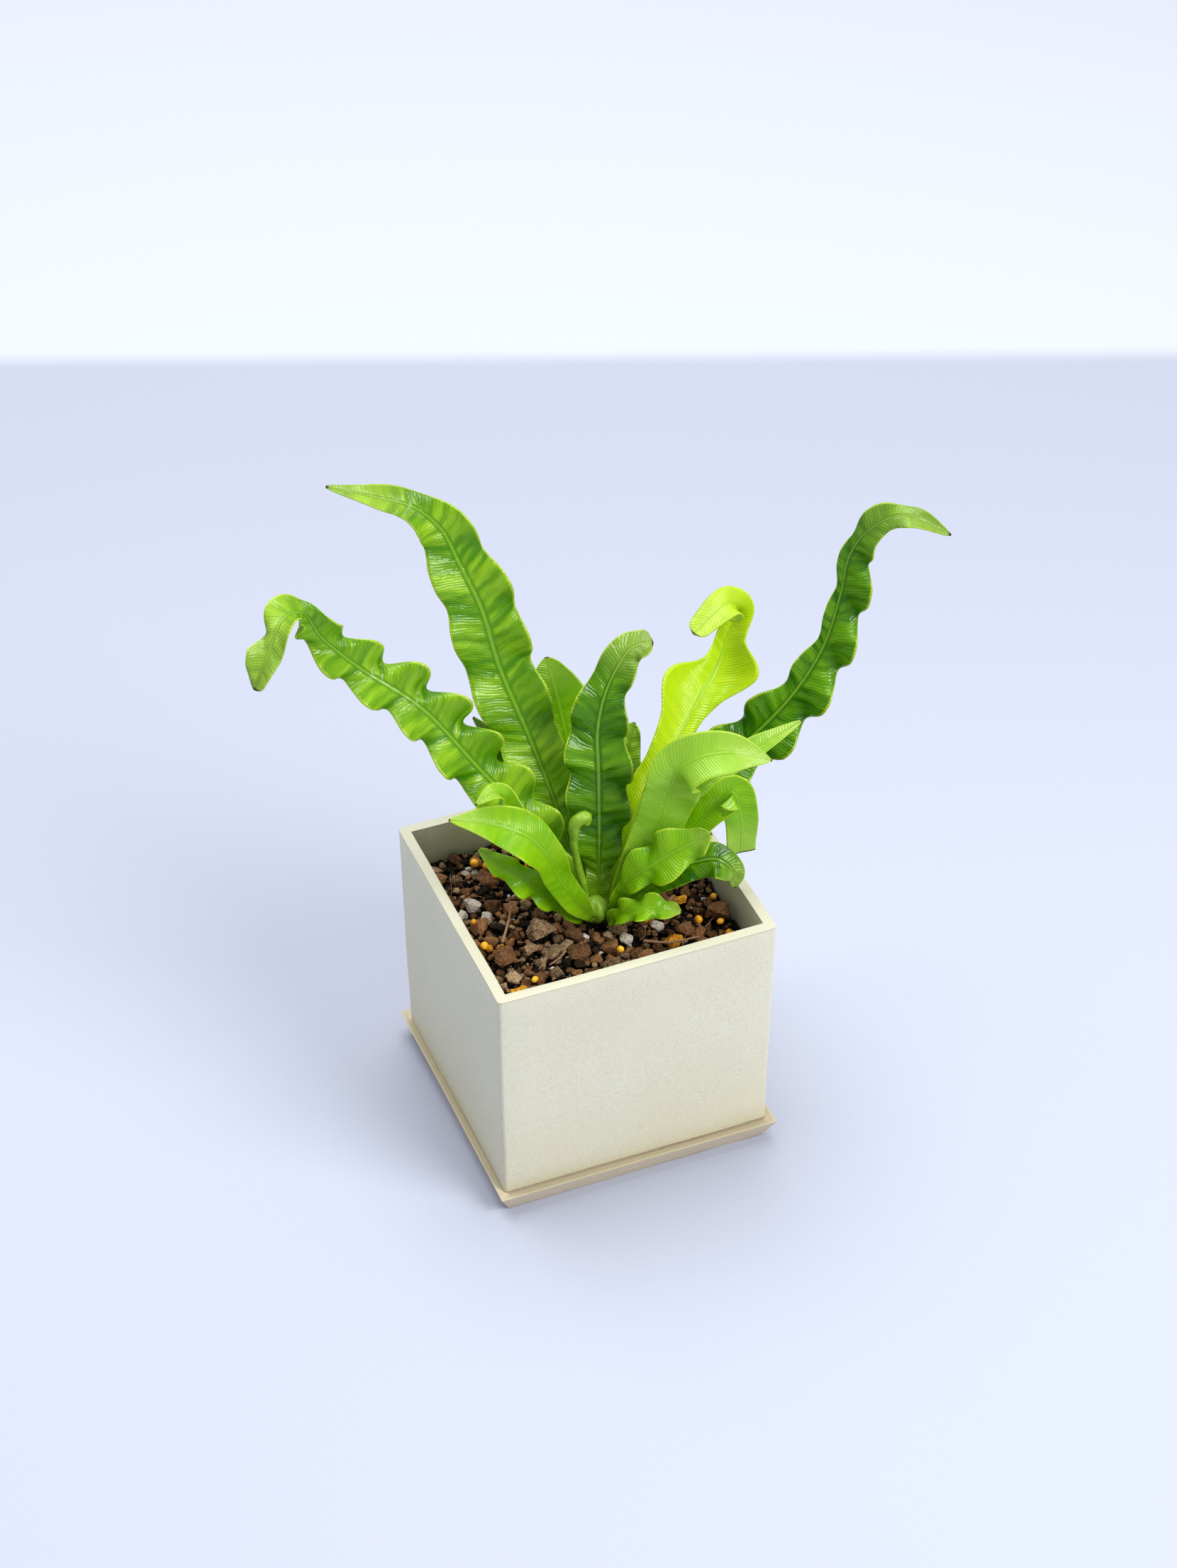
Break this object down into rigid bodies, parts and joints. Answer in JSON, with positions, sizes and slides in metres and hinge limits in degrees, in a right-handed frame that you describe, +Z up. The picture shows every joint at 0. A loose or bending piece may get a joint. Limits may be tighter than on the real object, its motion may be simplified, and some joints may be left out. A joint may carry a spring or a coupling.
{
  "type": "potted fern",
  "caption": "Wavy bird's-nest fern with curling glossy fronds in a square pale glazed pot on a beige square saucer, topped with pumice and brown grit.",
  "frame": {"origin": "on the surface that the saucer rests on, below the middle of the pot", "axes": "+Z up; -Y towards the front face of the pot, +X to its right; the long fronds spread along X"},
  "size_m": [0.2143, 0.0936, 0.2187],
  "materials": {
    "pot_glaze": "matt pale sage glaze with fine dark and rust specks",
    "saucer_glaze": "satin beige glaze, paler along the lip",
    "screen_plastic": "matt black net",
    "potting_mix": "dark gritty mix of humus and small grains",
    "rhizome_skin": "smooth green clump of frond bases",
    "leaf_green": "glossy mid green blade with pale veins and thin pale edge",
    "leaf_young": "satin yellow green young blade",
    "pumice": "rough pale porous stone",
    "akadama": "rough brown baked clay lump",
    "ochre_grit": "rough yellow ochre lump",
    "twig_bark": "dry brown twig"
  },
  "bodies": {
    "root": {"saucer": "saucer_glaze", "pot": "pot_glaze", "drain_screen": "screen_plastic", "potting_mix": "potting_mix", "rhizome": "rhizome_skin", "frond_long_left": "leaf_green", "frond_tall_back": "leaf_green", "frond_upright_centre": "leaf_green", "frond_back_broad": "leaf_green", "frond_back_right": "leaf_green", "frond_lime_curl": "leaf_young", "frond_long_right": "leaf_green", "frond_front_broad": "leaf_young", "frond_slim_right": "leaf_green", "frond_strap_right": "leaf_green", "frond_low_right": "leaf_green", "frond_front_right": "leaf_green", "frond_lowest_front": "leaf_green", "frond_front_left": "leaf_young", "frond_low_left": "leaf_green", "frond_small_left": "leaf_young", "frond_back_sliver": "leaf_green", "frond_crozier": "leaf_young", "pumice_stone_large": "pumice", "pumice_stone_pale": "pumice", "pumice_stone_grey": "pumice", "pumice_stone_white": "pumice", "akadama_lump_front": "akadama", "akadama_lump_left": "akadama", "akadama_lump_right": "akadama", "akadama_lump_middle": "akadama", "ochre_lump_front": "ochre_grit", "ochre_lump_corner": "ochre_grit", "twig_front": "twig_bark", "twig_left": "twig_bark", "twig_right": "twig_bark"}
  },
  "joints": []
}
